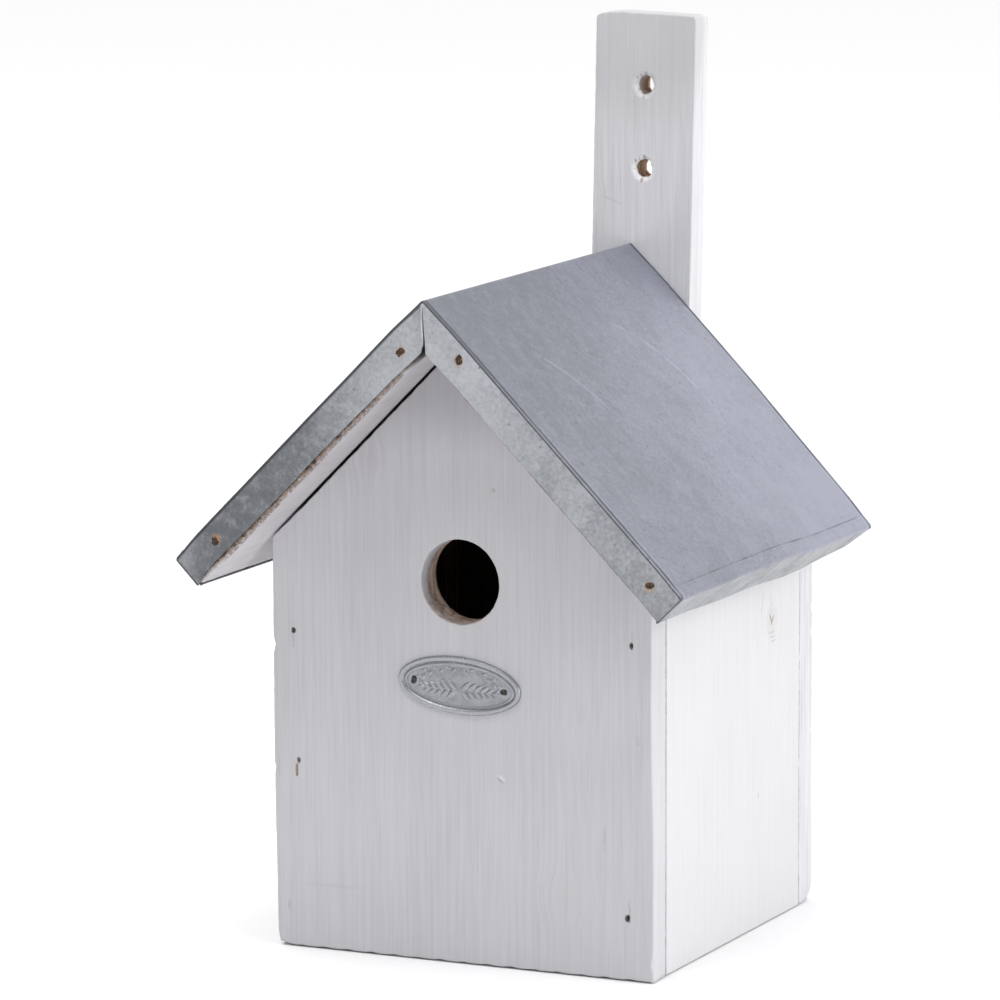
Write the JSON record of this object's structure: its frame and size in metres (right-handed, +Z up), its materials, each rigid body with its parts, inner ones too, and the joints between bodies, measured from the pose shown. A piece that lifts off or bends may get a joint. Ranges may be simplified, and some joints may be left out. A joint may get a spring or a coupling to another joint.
{
  "type": "bird nest box",
  "caption": "Gabled wooden nest box for small birds, with a round entrance, a folded zinc-coated sheet roof and a batten for hanging that stands up behind the roof.",
  "frame": {"origin": "under the middle of the whole object, at the base that it stands on", "axes": "+Z up, -Y out of the entrance, +X to the right for someone facing the entrance; the ridge runs along Y"},
  "size_m": [0.1828, 0.1772, 0.3068],
  "materials": {
    "painted_front": "pale grey-lilac wash over pine, matt",
    "painted_wall": "pale grey-lilac wash over pine, matt",
    "painted_roof_board": "pale wash on the underside, rough sawn edges",
    "painted_batten": "thin grey-white wash with the grain showing",
    "raw_pine": "unpainted planed pine",
    "zinc_sheet": "dull galvanised sheet with faint spangle",
    "plate_metal": "pressed zinc-coated plate, satin",
    "rusty_nail": "rusted nail heads",
    "dark_nail": "dark small nails",
    "staple_wire": "flat steel wire, partly painted over",
    "screw_steel": "zinc plated"
  },
  "bodies": {
    "root": {"front_panel": "painted_front", "back_panel": "painted_wall", "left_side_panel": "painted_wall", "right_side_panel": "painted_wall", "floor_panel": "raw_pine", "left_roof_board": "painted_roof_board", "right_roof_board": "painted_roof_board", "roof_cover": "zinc_sheet", "hanging_batten": "painted_batten", "oval_plate": "plate_metal", "plate_nails": "dark_nail", "left_front_roof_nails": "rusty_nail", "right_front_roof_nails": "rusty_nail", "left_rear_roof_nails": "rusty_nail", "right_rear_roof_nails": "rusty_nail", "left_front_staples": "staple_wire", "right_front_staples": "staple_wire", "left_rear_staples": "staple_wire", "right_rear_staples": "staple_wire", "rear_floor_staples": "staple_wire", "left_floor_staples": "staple_wire", "left_roof_staples": "staple_wire", "right_roof_staples": "staple_wire", "batten_screws": "screw_steel"}
  },
  "joints": []
}
